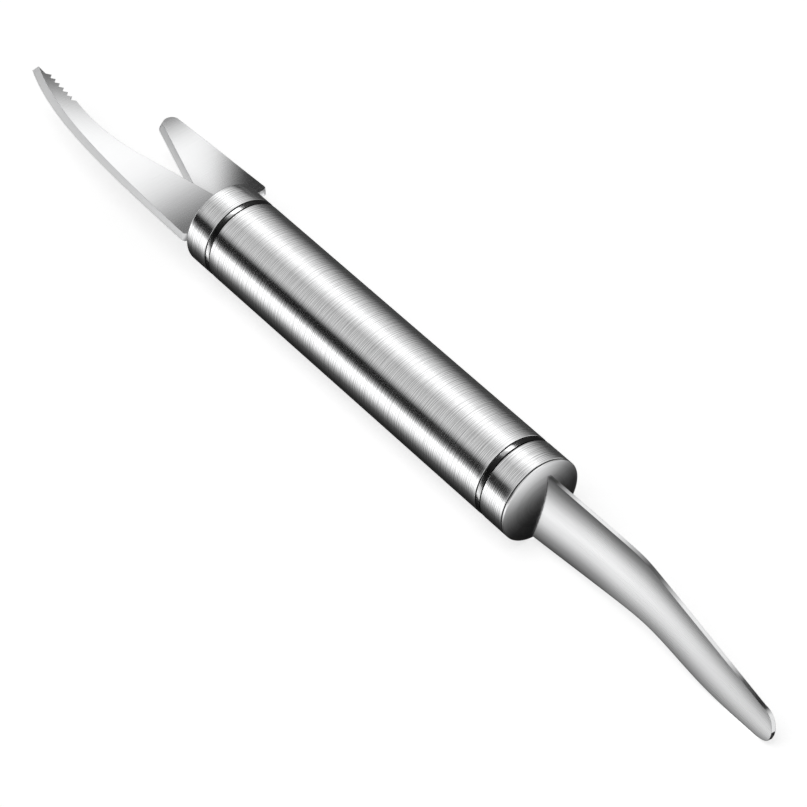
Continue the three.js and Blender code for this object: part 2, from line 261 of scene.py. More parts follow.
def dull(name, color, roughness, scale, bump):
    """Rubber or plastic: a fine pebbled skin with a little change of tone."""
    shader = Shader(name)
    place = place_coordinates(shader)
    pebble = shader.noise(place, scale, detail=5.0, roughness=0.6)
    cloud = shader.noise(place, scale / PEBBLES_PER_CLOUD)
    tone = shader.ramp(
        cloud, [(0.35, grey(color * SKIN_DARK)), (0.65, grey(color * SKIN_LIGHT))],
    )
    shader.link(tone, "Base Color")
    gloss = shader.spread(pebble, roughness - SKIN_GLOSS_SWING, roughness + SKIN_GLOSS_SWING)
    shader.link(gloss, "Roughness")
    height = shader.node("ShaderNodeBump", {"Height": pebble}, Strength=bump, Distance=SKIN_DEPTH)
    shader.link(height.outputs["Normal"], "Normal")
    return shader.material


round_brushed = steel(
    "round_brushed_steel", place_coordinates, stretch=(1, 0.03, 0.03), fine=3800, coarse=1500,
    tones=(0.55, 0.95), roughness=(0.18, 0.2), bump=0.06,
    turn=0.25, anisotropic=0.7, lean=0.006, worn_edges=True,
)
cap_satin = steel(
    "turned_satin_steel", radial_coordinates, stretch=(1, 1, 1), fine=3000, coarse=700,
    tones=(0.75, 0.81), roughness=(0.28, 0.33), bump=0.04, worn_edges=True,
)
blade_satin = steel(
    "ground_blade_steel", place_coordinates, stretch=(1, 0.04, 0.3), fine=3600, coarse=1200,
    tones=(0.80, 0.85), roughness=(0.2, 0.24), bump=0.012,
)
edge_satin = steel(
    "ground_edge_steel", place_coordinates, stretch=(1, 0.3, 0.3), fine=4000, coarse=900,
    tones=(0.67, 0.73), roughness=(0.46, 0.56), bump=0.05,
)
scraper_satin = steel(
    "pressed_satin_steel", place_coordinates, stretch=(0.02, 1, 1), fine=3200, coarse=900,
    tones=(0.80, 0.825), roughness=(0.275, 0.3), bump=0.002,
)
dark_polish = steel(
    "dark_polished_steel", place_coordinates, stretch=(1, 0.012, 0.012), fine=5000, coarse=1200,
    tones=(0.013, 0.020), roughness=(0.2, 0.25), bump=0.03,
    turn=0.25, anisotropic=0.3, lean=0.005,
)
pin_brushed = steel(
    "drawn_pin_steel", place_coordinates, stretch=(1, 1, 0.05), fine=2400, coarse=500,
    tones=(0.5, 0.65), roughness=(0.3, 0.4), bump=0.1,
)
# Black rubber for the ring seals; on the rear cap it also paints shade into the seam.
seal_rubber_and_seam_shade = dull("seal_rubber_and_painted_seam_shade", color=0.012, roughness=0.62, scale=2600, bump=0.2)
core_grey = dull("core_moulded_plastic", color=0.045, roughness=0.6, scale=1800, bump=0.15)


# Meshes


def mesh_object(name, bm):
    bmesh.ops.recalc_face_normals(bm, faces=bm.faces)
    mesh = bpy.data.meshes.new(name)
    bm.to_mesh(mesh)
    bm.free()
    obj = bpy.data.objects.new(name, mesh)
    bpy.context.scene.collection.objects.link(obj)
    return obj


def piece(name, bm, material, slot, *replaced):
    obj = mesh_object(name, bm)
    obj.data.materials.append(material)
    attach(obj, "root")
    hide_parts(*replaced)
    return obj


def is_level(face, least):
    return abs(face.normal.z) > least


def shade(obj, degrees=32, flat_plate=False):
    """Smooths the piece between its sharp edges; a plate's two faces stay flat up to their rims."""
    mesh = obj.data
    mesh.shade_smooth()
    mesh.set_sharp_from_angle(angle=math.radians(degrees))
    if flat_plate:
        flat_rims = {
            key for face in mesh.polygons if is_level(face, 0.999) for key in face.edge_keys
        }
        for edge in mesh.edges:
            if edge.key in flat_rims:
                edge.use_edge_sharp = True


def cut(obj, bm):
    """Takes the closed mesh out of the piece."""
    cutter = mesh_object("cutter", bm)
    modifier = obj.modifiers.new("cut", "BOOLEAN")
    modifier.operation = "DIFFERENCE"
    modifier.solver = "EXACT"
    modifier.object = cutter
    bpy.context.view_layer.update()
    evaluated = obj.evaluated_get(bpy.context.evaluated_depsgraph_get())
    result = bpy.data.meshes.new_from_object(evaluated)
    obj.modifiers.clear()
    spent = obj.data, cutter.data
    obj.data = result
    bpy.data.objects.remove(cutter)
    for mesh in spent:
        bpy.data.meshes.remove(mesh)


def turned(profile):
    """A closed profile of (x, radius) points, in metres, turned about the handle's axis."""
    bm = bmesh.new()
    loops = []
    for x, radius in profile:
        count = SEGMENTS if radius > 0 else 1
        angles = [2 * math.pi * j / SEGMENTS for j in range(count)]
        loops.append([
            bm.verts.new((x, AXIS_Y + radius * math.cos(a), AXIS_Z + radius * math.sin(a)))
            for a in angles
        ])
    for loop, following in zip(loops, loops[1:] + loops[:1]):
        if len(loop) == 1 and len(following) == 1:
            continue
        for j in range(SEGMENTS):
            k = (j + 1) % SEGMENTS
            corners = [loop[j % len(loop)], following[j % len(following)],
                       following[k % len(following)], loop[k % len(loop)]]
            bm.faces.new(list(dict.fromkeys(corners)))
    return bm


def rounded(x, radius, ease, quarter, steps=5):
    """A quarter circle in the profile, round the centre at x and radius."""
    return [
        (x + ease * math.cos(math.pi / 2 * (quarter - i / steps)),
         radius + ease * math.sin(math.pi / 2 * (quarter - i / steps)))
        for i in range(steps + 1)
    ]


def sleeve(node, material, slot, ease_front, ease_rear):
    """A tube that takes its length and its thickness from its solid, with rounded outer edges."""
    low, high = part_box(node)
    outer = (high.z - low.z) / 2
    front, rear = ease_front * MM, ease_rear * MM
    length = high.x - low.x
    bands = max(1, round(length / BAND))
    profile = [
        (low.x, BORE),
        *rounded(low.x + front, outer - front, front, 2),
        *[(low.x + length * i / bands, outer) for i in range(1, bands)],
        *rounded(high.x - rear, outer - rear, rear, 1),
        (high.x, BORE),
    ]
    obj = piece(f"{node}_turned", turned(profile), material, slot, node)
    shade(obj)
    return obj


sleeve("handle_tube", round_brushed, "brushed_steel", ease_front=0.08, ease_rear=0.08)
sleeve("front_ferrule", round_brushed, "brushed_steel", ease_front=0.3, ease_rear=0.08)
sleeve("rear_ferrule", round_brushed, "brushed_steel", ease_front=0.08, ease_rear=0.15)
rings = []
for end in ("front", "rear"):
    ring = sleeve(
        f"{end}_ring", dark_polish, "polished_ring", ease_front=0.12, ease_rear=0.12,
    )
    rings.append(ring)
    for side in ("outer", "inner"):
        sleeve(
            f"{end}_seal_{side}", seal_rubber_and_seam_shade, "seal_rubber", ease_front=0.04, ease_rear=0.04,
        )


# Blades

TANG_LENGTH = 26
TANG_HALF = 4.5
BLADE_THICKNESS = 1.8
PLATE_GAP = 0.1
PLATE_EASE = 0.07
SHOULDER = 0.3
BLADE_REACH = 63.2
PRONG_REACH = 33.9
PRONG_BEVEL = 0.85
PIN_BORE = 1.65
PIN_INSETS = 16.5, 6.5
BORE_HALF = 6


def at(reach, y):
    """A point of a blade's outline, by its reach in front of the handle."""
    return Vector((-reach, y))


def arc(x, y, radius, start, end, steps):
    return [
        Vector((x + radius * math.cos(start + (end - start) * i / steps),
                y + radius * math.sin(start + (end - start) * i / steps)))
        for i in range(steps + 1)
    ]


def bezier(points, t):
    a, b, c, d = points
    s = 1 - t
    return a * s ** 3 + b * (3 * s * s * t) + c * (3 * s * t * t) + d * t ** 3


def bezier_run(points, t):
    a, b, c, d = points
    s = 1 - t
    return ((b - a) * s * s + (c - b) * (2 * s * t) + (d - c) * t * t).normalized()


def belly_and_teeth(share):
    """The curved blade's inner edge, from its shoulder to its last tooth."""
    belly_radius, belly_reach, belly_offset = 58, 0.617 * BLADE_REACH, 3.15
    throat = math.radians(12.3)
    pitch, depth, lean, grind, count = 1.73, 0.88, 0.63, 1.4, 7
    tooth_slope, point_length = math.radians(4.9), 4.1
    teeth_run = (count - 1) * pitch * math.cos(tooth_slope)
    forward = BLADE_REACH - point_length - teeth_run - belly_reach
    belly = arc(
        -belly_reach, belly_radius - belly_offset, belly_radius,
        -math.pi / 2 + throat, -math.pi / 2 - math.asin(forward / belly_radius), steps=54,
    )
    throat_y = belly[0].y + (-SHOULDER - belly[0].x) * math.tan(throat)
    along = Vector((-math.cos(tooth_slope), math.sin(tooth_slope)))
    into = Vector((-along.y, along.x))
    gullet = depth + (grind - depth) * share
    teeth = []
    for i in range(count):
        if i > 0:
            teeth.append(belly[-1] + along * (i * pitch) + into * (share * grind))
        teeth.append(belly[-1] + along * ((i + lean) * pitch) + into * gullet)
    return [at(SHOULDER, throat_y), *belly, *teeth]


def spine_and_heel(share):
    """The curved blade's outer edge, from its tip to its rounded heel."""
    corner, spine_y, tip_y = 1.1, 9.45, -2.04
    lead, lean_back = math.radians(21.8), math.radians(1.2)
    tip_pull, root_pull = 0.25, 0.47
    tip_bevel, root_bevel = 1.3, 0.4
    steps = 60
    tip = at(BLADE_REACH, tip_y)
    root = at(SHOULDER + corner, -spine_y)
    ahead = Vector((-math.cos(lead), math.sin(lead)))
    leaving = Vector((-math.cos(lean_back), math.sin(lean_back)))
    curve = [
        tip, tip - ahead * (tip_pull * BLADE_REACH),
        root + leaving * (root_pull * BLADE_REACH), root,
    ]
    spine = []
    for i in range(steps + 1):
        run = bezier_run(curve, i / steps)
        bevel = share * (tip_bevel + (root_bevel - tip_bevel) * i / steps)
        spine.append(bezier(curve, i / steps) + Vector((run.y, -run.x)) * bevel)
    spine[0] = spine[0] + ahead * share
    heel = arc(-SHOULDER - corner, spine[-1].y + corner, corner, -math.pi / 2, 0, steps=8)
    return [*spine[:-1], *heel]


def curved_outline(share):
    """The curved blade's outline.

    The share of the bevel pushes its outer edge and tip outwards and grinds its teeth back.
    """
    return [
        at(-TANG_LENGTH, TANG_HALF), at(SHOULDER, TANG_HALF),
        *belly_and_teeth(share), *spine_and_heel(share),
        at(SHOULDER, -TANG_HALF), at(-TANG_LENGTH, -TANG_HALF),
    ]


def prong_outline(bevel):
    """The prong's outline; the bevel pushes its notch edge and tip out and fades along its back."""
    shoulder, radius, corner = 2.7, 1.9, 0.9
    inner, outer = math.radians(18), math.radians(2.5)
    outer_normal, inner_normal = math.pi / 2 + outer, 3 * math.pi / 2 - inner
    tip_x, tip_y = -PRONG_REACH + radius, 10.46
    plain = arc(tip_x, tip_y, radius, outer_normal, inner_normal, steps=28)
    tip = arc(tip_x, tip_y, radius + bevel, outer_normal, inner_normal, steps=28)
    notch_y = tip[-1].y - (-shoulder - tip[-1].x) * math.tan(inner)
    corner_x = -shoulder - corner
    corner_y = plain[0].y + (corner_x - plain[0].x) * math.tan(outer) - corner
    return [
        at(-TANG_LENGTH, TANG_HALF), at(shoulder, TANG_HALF),
        *arc(corner_x, corner_y, corner, 0, outer_normal, steps=8),
        *tip, at(shoulder, notch_y),
        at(shoulder, -TANG_HALF), at(-TANG_LENGTH, -TANG_HALF),
    ]


def plate(upper, lower, z_low, z_high):
    """A plate between two outlines of the same count, with its rims rounded over."""
    bm = bmesh.new()
    top = [bm.verts.new(ORIGIN + Vector((p.x, p.y, z_high)) * MM) for p in upper]
    bottom = [bm.verts.new(ORIGIN + Vector((p.x, p.y, z_low)) * MM) for p in lower]
    bm.faces.new(top)
    bm.faces.new(bottom[::-1])
    for i in range(len(top)):
        k = (i + 1) % len(top)
        bm.faces.new([bottom[i], bottom[k], top[k], top[i]])
    bm.normal_update()
    levels = set(top), set(bottom)
    rims = [e for e in bm.edges if any(level.issuperset(e.verts) for level in levels)]
    bmesh.ops.bevel(
        bm, geom=rims, offset=PLATE_EASE * MM, segments=2, profile=0.5, affect="EDGES",
        clamp_overlap=True,
    )
    return bm


def pin_bore(centre, direction):
    """A cutter for the hole that a pin passes through."""
    bm = bmesh.new()
    turn = direction.to_track_quat("Z", "Y").to_matrix().to_4x4()
    bmesh.ops.create_cone(
        bm, cap_ends=True, segments=48, radius1=PIN_BORE * MM, radius2=PIN_BORE * MM,
        depth=2 * BORE_HALF * MM, matrix=Matrix.Translation(centre) @ turn,
    )
    return bm


blade_top = PLATE_GAP / 2 + BLADE_THICKNESS
curved = piece(
    "curved_blade_ground",
    plate(curved_outline(0), curved_outline(1), PLATE_GAP / 2, blade_top),
    blade_satin, "blade_steel", "curved_blade",
)
prong = piece(
    "prong_blade_ground",
    plate(prong_outline(0), prong_outline(PRONG_BEVEL), -blade_top, -PLATE_GAP / 2),
    blade_satin, "blade_steel", "prong_blade",
)
for blade in (curved, prong):
    for inset in PIN_INSETS:
        centre = ORIGIN + Vector(((TANG_LENGTH - inset) * MM, 0, 0))
        cut(blade, pin_bore(centre, Vector((0, 0, 1))))
    blade.data.materials.append(edge_satin)
    for face in blade.data.polygons:
        face.material_index = 0 if is_level(face, 0.99) else 1
    shade(blade, degrees=24, flat_plate=True)


# Scraper

TILT = math.radians(14)
ACROSS = Vector((0, math.sin(TILT), math.cos(TILT)))
FACING = Vector((0, -math.cos(TILT), math.sin(TILT)))
SCRAPER_REACH = 62.9
SCRAPER_THICKNESS = 1.0
SCRAPER_NEAR, SCRAPER_DROP = 0.15, 1.65
SCRAPER_PINS = 9.5, 19.5
TOP_EDGE, TOP_FALL, TOP_BEND, TOP_SOFTNESS = 7.5, 0.236, 27.3, 1.2
BOTTOM_EDGE, BOTTOM_RISE = -7.35, 0.083
BOTTOM_FALL, BOTTOM_BEND, BOTTOM_SOFTNESS = 0.263, 32.5, 2.5
END_RISE, END_BEND, END_SOFTNESS = 0.18, 49.6, 3
SAG_ROOT, SAG_MORE, SAG_RUN = 0.12, 0.12, 18
COLUMNS = 36
LIP_STEPS, LIP_EASE, LIP_MOST = 3, 0.12, 0.3
scraper_origin = Vector(
    (CAP_X + SEAM, AXIS_Y - SCRAPER_NEAR * MM, AXIS_Z - SCRAPER_DROP * MM)
)


def bent(run, softness):
    """Nothing before a bend and the run after it, with a soft turn between."""
    return softness * math.log1p(math.exp(run / softness))


def scraper_top(reach):
    return TOP_EDGE - TOP_FALL * bent(reach - TOP_BEND, TOP_SOFTNESS)


def scraper_bottom(reach):
    return (BOTTOM_EDGE + BOTTOM_RISE * reach
            - BOTTOM_FALL * bent(reach - BOTTOM_BEND, BOTTOM_SOFTNESS)
            + END_RISE * bent(reach - END_BEND, END_SOFTNESS))


def scraper_sag(reach):
    t = min(1.0, max(0.0, reach / SAG_RUN))
    return SAG_ROOT + SAG_MORE * t * t * (3 - 2 * t)


def scraper_point(reach, width, height):
    return scraper_origin + (Vector((reach, 0, 0)) + ACROSS * width + FACING * height) * MM


def hollow(reach, low, high, width):
    """How deep the trough lies at a place across it, between its lower and its upper edge."""
    middle, half = (low + high) / 2, (high - low) / 2
    return scraper_sag(reach) * half * (1 - ((width - middle) / half) ** 2)


def scraper_stations():
    """Reach, lower edge and upper edge of each section, with the last ones closing the tip."""
    steps, tip_steps = 96, 22
    tip_run, tip_share, fullness = 3.7, 0.42, 0.5
    tip_turn = math.radians(86.1)
    stations = []
    for i in range(steps + 1):
        reach = SCRAPER_REACH * i / steps
        stations.append((reach, scraper_bottom(reach), scraper_top(reach)))
    _, low, high = stations[-1]
    end = low + (high - low) * tip_share
    for i in range(1, tip_steps + 1):
        angle = i / tip_steps * tip_turn
        left = math.cos(angle)
        stations.append((
            SCRAPER_REACH + tip_run * math.sin(angle),
            end + (low - end) * left ** fullness,
            end + (high - end) * left,
        ))
    return stations


def scraper_section(reach, low, high):
    """Points round one section: the hollow face, the upper lip, the back and the lower lip."""
    ease = min(LIP_EASE, LIP_MOST * (high - low) / 2)

    def corner(side, front, outward):
        edge = high - ease if side > 0 else low + ease
        base = -ease if front else -SCRAPER_THICKNESS + ease
        shift = hollow(reach, low, high, edge)
        turns = [i / LIP_STEPS * math.pi / 2 for i in range(LIP_STEPS + 1)]
        if not outward:
            turns = turns[::-1]
        up = 1 if front else -1
        return [
            (edge + side * ease * math.sin(t), base + up * ease * math.cos(t) - shift)
            for t in turns
        ]

    inner = [low + ease + (high - low - 2 * ease) * j / COLUMNS for j in range(COLUMNS + 1)]
    face = [(w, -hollow(reach, low, high, w)) for w in inner]
    back = [(w, -SCRAPER_THICKNESS - hollow(reach, low, high, w)) for w in reversed(inner)]
    return (
        face[:-1] + corner(1, True, True) + corner(1, False, False)
        + back[1:-1] + corner(-1, False, True) + corner(-1, True, False)[:-1]
    )


def scraper_mesh():
    """A trough in one closed skin, with a tang grown from the middle of its root."""
    tang_first, tang_last = 11, 33
    bm = bmesh.new()
    loops = []
    for station in scraper_stations():
        section = scraper_section(*station)
        loops.append([bm.verts.new(scraper_point(station[0], w, h)) for w, h in section])
    for loop, following in zip(loops, loops[1:]):
        for j in range(len(loop)):
            k = (j + 1) % len(loop)
            bm.faces.new([loop[j], following[j], following[k], loop[k]])
    bm.faces.new(loops[-1][::-1])

    root = loops[0]
    back_start = COLUMNS + 2 * (LIP_STEPS + 1) - 1
    mirror = [back_start + COLUMNS - j for j in range(COLUMNS + 1)]
    strips = [
        bm.faces.new(
            [root[j], root[j + 1], root[mirror[j + 1] % len(root)], root[mirror[j] % len(root)]]
        )
        for j in range(COLUMNS)
    ]
    bm.faces.new([root[i] for i in range(COLUMNS, back_start + 1)])
    bm.faces.new([root[i % len(root)] for i in range(back_start + COLUMNS, len(root) + 1)])
    tang = strips[tang_first:tang_last]
    grown = bmesh.ops.extrude_face_region(bm, geom=tang)
    moved = [g for g in grown["geom"] if isinstance(g, bmesh.types.BMVert)]
    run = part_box("scraper")[0].x - scraper_origin.x
    bmesh.ops.translate(bm, verts=moved, vec=(run, 0, 0))
    bmesh.ops.delete(bm, geom=[f for f in tang if f.is_valid], context="FACES_ONLY")
    return bm


scraper = piece("scraper_pressed", scraper_mesh(), scraper_satin, "blade_steel", "scraper")
for setback in SCRAPER_PINS:
    cut(scraper, pin_bore(Vector((REAR_X - setback * MM, AXIS_Y, AXIS_Z)), FACING))
shade(scraper, degrees=40)


# Rear cap

FLANGE = 0.7 * MM
SPIGOT_ROOM = 0.15 * MM
RIM_EASE, SEAM_EASE = 0.2 * MM, 0.3 * MM
FACE_RINGS = 0.75, 0.4


def slot_cutter():
    """The curve of the scraper's tang with room round it."""
    low, high, clearance, steps = -2.863, 6.137, 0.06, 24
    inside, outside = -12, 3
    bm = bmesh.new()
    ends = []
    for reach in (inside, outside):
        rows = []
        for height in (clearance, -SCRAPER_THICKNESS - clearance):
            row = []
            for j in range(steps + 1):
                w = low - clearance + (high - low + 2 * clearance) * j / steps
                row.append((w, height - hollow(0, scraper_bottom(0), scraper_top(0), w)))
            rows.append(row)
        loop = rows[0] + rows[1][::-1]
        ends.append([bm.verts.new(scraper_point(reach, w, h)) for w, h in loop])
    first, last = ends
    for j in range(len(first)):
        k = (j + 1) % len(first)
        bm.faces.new([first[j], last[j], last[k], first[k]])
    bm.faces.new(first)
    bm.faces.new(last[::-1])
    return bm


cap_low, cap_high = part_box("rear_cap")
cap_radius = (cap_high.z - cap_low.z) / 2
flange = cap_high.x - FLANGE
spigot = BORE - SPIGOT_ROOM
rear_cap = piece(
    "rear_cap_turned",
    turned([
        (cap_low.x, 0), (cap_low.x, spigot), (flange, spigot),
        *rounded(flange + SEAM_EASE, cap_radius - SEAM_EASE, SEAM_EASE, 2),
        *rounded(cap_high.x - RIM_EASE, cap_radius - RIM_EASE, RIM_EASE, 1),
        *[(cap_high.x, cap_radius * share) for share in FACE_RINGS], (cap_high.x, 0),
    ]),
    cap_satin, "brushed_steel", "rear_cap",
)
cut(rear_cap, slot_cutter())
# The seam's rounded faces take the black rubber as painted shade, a dark line between cap and
# ferrule.
rear_cap.data.materials.append(seal_rubber_and_seam_shade)
for face in rear_cap.data.polygons:
    reach = math.hypot(face.center.y - AXIS_Y, face.center.z - AXIS_Z)
    in_painted_seam_shade = flange < face.center.x < flange + SEAM_EASE and reach > cap_radius - SEAM_EASE
    face.material_index = 1 if in_painted_seam_shade else 0
shade(rear_cap)


# Solids that are carried over with a better finish

carried = {
    "front_cap": cap_satin,
    "front_core_channel": core_grey,
    "front_core_clamp": core_grey,
    "rear_core_near": core_grey,
    "rear_core_far": core_grey,
    "front_pin_1": pin_brushed,
    "front_pin_2": pin_brushed,
    "rear_pin_1": pin_brushed,
    "rear_pin_2": pin_brushed,
}
for name, material in carried.items():
    slots = nodes[name].data.materials
    slots.clear()
    slots.append(material)


# Stage: a pale floor, a light tent and cards that only reflections see, and small lamps


def sheet_object(name, corners, material, faces=None):
    mesh = bpy.data.meshes.new(name)
    mesh.from_pydata([tuple(c) for c in corners], [], faces or [tuple(range(len(corners)))])
    mesh.materials.append(material)
    obj = bpy.data.objects.new(name, mesh)
    bpy.context.scene.collection.objects.link(obj)
    return obj


def level_corners(x_start, x_end, y_start, y_end, z):
    return [(x_start, y_start, z), (x_end, y_start, z), (x_end, y_end, z), (x_start, y_end, z)]


def grid_faces(points, columns):
    """Faces between points that are listed row by row."""
    return [
        (k - columns - 1, k - columns, k, k - 1)
        for k in range(columns, len(points)) if k % columns
    ]


def reflections_only(obj):
    obj.visible_camera = False
    obj.visible_diffuse = False
    obj.visible_shadow = False
    obj.visible_transmission = False
    obj.visible_volume_scatter = False


def seen_rays(shader):
    """One for what the camera, metal and glass see, and nothing for plain light."""
    path = shader.node("ShaderNodeLightPath").outputs
    sharp = shader.math("MAXIMUM", path["Is Glossy Ray"], path["Is Transmission Ray"])
    return shader.math("MAXIMUM", path["Is Camera Ray"], sharp)


def along(axis, start, end):
    """A position that runs from 0 at start to 1 at end, in millimetres.

    Along y it is measured from the handle's axis, and along x from the frame's own middle.
    """
    base = {"X": 0.0, "Y": AXIS_Y}[axis]

    def position(shader):
        place = shader.axes(place_coordinates(shader))
        return shader.spread(place[axis], 0.0, 1.0, base + start * MM, base + end * MM)
    return position


def round_the_handle(shader):
    """A position that runs from 0 on the far side, over the handle, to 1 on the near side."""
    place = shader.axes(place_coordinates(shader))
    y = shader.math("SUBTRACT", place["Y"], AXIS_Y)
    return shader.math("DIVIDE", shader.math("ARCTAN2", place["Z"], y), math.pi)


def as_shares(stops):
    """The stops with their places as shares of the way from the first to the last."""
    first, last = stops[0][0], stops[-1][0]
    return [((place - first) / (last - first), level) for place, level in stops]


def slope(shader, weights, stops):
    """Levels at the stops, in millimetres along a direction made of the weights for x, y and z."""
    place = shader.axes(place_coordinates(shader))
    run = 0.0
    for axis, weight in zip("XYZ", weights):
        if weight:
            run = shader.math("ADD", run, shader.math("MULTIPLY", place[axis], weight))
    first, last = stops[0][0], stops[-1][0]
    position = shader.spread(run, 0.0, 1.0, first * MM, last * MM)
    return shader.levels(position, as_shares(stops))


def even(level):
    def value(shader):
        output = shader.node("ShaderNodeValue").outputs[0]
        output.default_value = level
        return output
    return value


def glow_material(name, position, stops, beside=None, stops_beside=None):
    """Light of the levels given at the stops, along a position that runs from 0 to 1.

    Where a second position is given, the light goes over to the second stops along it.
    """
    shader = Shader(name)
    place = position(shader)
    level = shader.levels(place, stops)
    if beside:
        level = shader.mix(beside(shader), level, shader.levels(place, stops_beside))
    glow = shader.node("ShaderNodeEmission", {"Color": level})
    shader.surface(glow.outputs["Emission"])
    return shader.material


FLOOR_GLOW = 0.71
FLOOR_HALF = 6.0
FLOOR_MOTTLE = 40.0


def floor_material():
    shader = Shader("pale_floor")
    mottle = shader.noise(place_coordinates(shader), FLOOR_MOTTLE)
    shader.link(shader.levels(mottle, [(0.3, 0.79), (0.7, 0.81)]), "Base Color")
    shader.set(Roughness=1.0, Specular_IOR_Level=0.0, Emission_Color=(1, 1, 1, 1))
    shader.link(shader.math("MULTIPLY", seen_rays(shader), FLOOR_GLOW), "Emission Strength")
    return shader.material


sheet_object(
    "floor", level_corners(-FLOOR_HALF, FLOOR_HALF, -FLOOR_HALF, FLOOR_HALF, 0), floor_material(),
)

TENT_RADIUS = 0.6
TENT_STEPS = 72
TENT_ENDS = -2.0, 1.6
PLAIN_STARTS, PLAIN_FULL = -170, -80
tent_levels = [
    (0.0, 0.10), (0.1, 0.32), (0.2, 0.68), (0.28, 0.98), (0.35, 1.42), (0.42, 1.40), (0.48, 1.0),
    (0.57, 0.58), (0.73, 0.70), (0.78, 0.45), (0.83, 0.0), (0.92, 0.0), (0.96, 0.3), (1.0, 0.9),
]
plain_levels = [(0.0, 0.5), (0.25, 0.8), (0.5, 1.15), (0.75, 0.8), (1.0, 0.65)]
tent_points = [
    (x, AXIS_Y + TENT_RADIUS * math.cos(math.pi * i / TENT_STEPS),
     TENT_RADIUS * math.sin(math.pi * i / TENT_STEPS))
    for i in range(TENT_STEPS + 1) for x in TENT_ENDS
]
tent = sheet_object(
    "light_tent", tent_points,
    glow_material(
        "tent_light", round_the_handle, tent_levels,
        along("X", PLAIN_STARTS, PLAIN_FULL), plain_levels,
    ),
    grid_faces(tent_points, len(TENT_ENDS)),
)
reflections_only(tent)


def floor_card(name, x_start, x_end, lift, stops):
    """A card just over the floor, whose light changes across the tool."""
    y_start, y_end = stops[0][0], stops[-1][0]
    corners = level_corners(
        x_start * MM, x_end * MM, AXIS_Y + y_start * MM, AXIS_Y + y_end * MM, lift * MM,
    )
    light = glow_material(f"{name}_light", along("Y", y_start, y_end), as_shares(stops))
    reflections_only(sheet_object(name, corners, light))


NEAR, FAR = -640, 640
# Its dark strip under the tool is painted shade, a contact shadow that only reflections see.
floor_card("floor_card", x_start=-900, x_end=500, lift=0.3, stops=[
    (NEAR, 1.4), (-60, 1.5), (-42, 1.38), (-30, 1.1), (-23, 0.63), (-19, 0.26), (-16, 0.1),
    (-12, 0.02), (6, 0.02), (16, 0.06), (FAR, 0.13),
])
floor_card("rear_floor_card", x_start=76, x_end=500, lift=0.4, stops=[
    (8, 0.03), (14, 0.35), (25, 0.8), (FAR, 0.8),
])


def card(name, corners, cover, level, one_way=False, faces=None):
    """A card that only reflections see, clear where its cover is nothing.

    A card of one way is clear from behind too.
    """
    shader = Shader(f"{name}_light")
    share = cover(shader)
    if one_way:
        behind = shader.node("ShaderNodeNewGeometry").outputs["Backfacing"]
        share = shader.math("MULTIPLY", share, shader.math("SUBTRACT", 1.0, behind))
    clear = shader.node("ShaderNodeBsdfTransparent")
    glow = shader.node("ShaderNodeEmission", {"Color": level(shader)})
    mixed = shader.node(
        "ShaderNodeMixShader",
        {0: share, 1: clear.outputs["BSDF"], 2: glow.outputs["Emission"]},
    )
    shader.surface(mixed.outputs["Shader"])
    obj = sheet_object(name, corners, shader.material, faces)
    reflections_only(obj)
    return obj


def blade_cover(shader):
    """Darkens the roots and tips of both blades, and leaves their middle in the tent's light."""
    root = shader.math(
        "MULTIPLY",
        slope(shader, (1, 0, 0), [
            (-87.4, 0.05), (-82.3, 0.10), (-78.3, 0.18), (-74.1, 0.32), (-70.1, 0.53),
            (-67.0, 0.68), (-64.0, 0.82), (-59.9, 0.97),
        ]),
        slope(shader, (0, 1, 0), [(8, 1.0), (11, 0.0)]),
    )
    tip = shader.math(
        "MULTIPLY",
        slope(shader, (1, -1.2, 0), [
            (-126.5, 0.95), (-122.3, 0.86), (-118.8, 0.8), (-115.2, 0.66), (-110.6, 0.48),
            (-105.9, 0.27), (-101.3, 0.16), (-96.7, 0.08), (-88.9, 0.0),
        ]),
        slope(shader, (0, 1, 0), [(7, 1.0), (10, 0.0)]),
    )
    prong_root = slope(shader, (1, 1.1, 0), [
        (-73.2, 0.03), (-68, 0.06), (-65, 0.11), (-62, 0.2), (-59.1, 0.4), (-56.1, 0.67),
        (-53.1, 0.91), (-50.1, 1.0),
    ])
    prong_tip = shader.math(
        "MULTIPLY",
        slope(shader, (1, 0, 0), [
            (-97.6, 0.9), (-96.2, 0.8), (-94.2, 0.6), (-92.2, 0.36), (-89.05, 0.14), (-84.7, 0.0),
        ]),
        slope(shader, (0, 1, 0), [(9.5, 0.0), (12.5, 1.0)]),
    )
    roots = shader.math("MAXIMUM", root, prong_root)
    cover = shader.math("MAXIMUM", roots, shader.math("MAXIMUM", tip, prong_tip))
    return shader.math("MULTIPLY", cover, slope(shader, (1, 0, 0), [(-60.5, 1.0), (-55, 0.0)]))


BLADE_CARD_Z = 21 * MM
BLADE_CARD_X = -135 * MM, -55 * MM
BLADE_CARD_Y = -12 * MM, 30 * MM
card(
    "blade_card", level_corners(*BLADE_CARD_X, *BLADE_CARD_Y, BLADE_CARD_Z),
    blade_cover, even(0.03),
)

CAP_LIFT = 0.2 * MM
CAP_CARD_RADIUS = 9.4 * MM
CAP_CARD_SIDES = 48
CAP_SLANT = -0.35


def painted_cap_reflection(shader):
    """Painted reflection on the cap's face: dark below, and pale above on the near side."""
    middle = (AXIS_Z + CAP_SLANT * AXIS_Y) / MM
    stops = [
        (-5.8, 0.006), (-3.0, 0.014), (-0.7, 0.047), (1.3, 0.105), (3.3, 0.21), (5.2, 0.4),
        (7.0, 0.62), (8.8, 0.9),
    ]
    return slope(shader, (0, CAP_SLANT, 1), [(middle + run, level) for run, level in stops])


cap_angles = [2 * math.pi * i / CAP_CARD_SIDES for i in range(CAP_CARD_SIDES)]
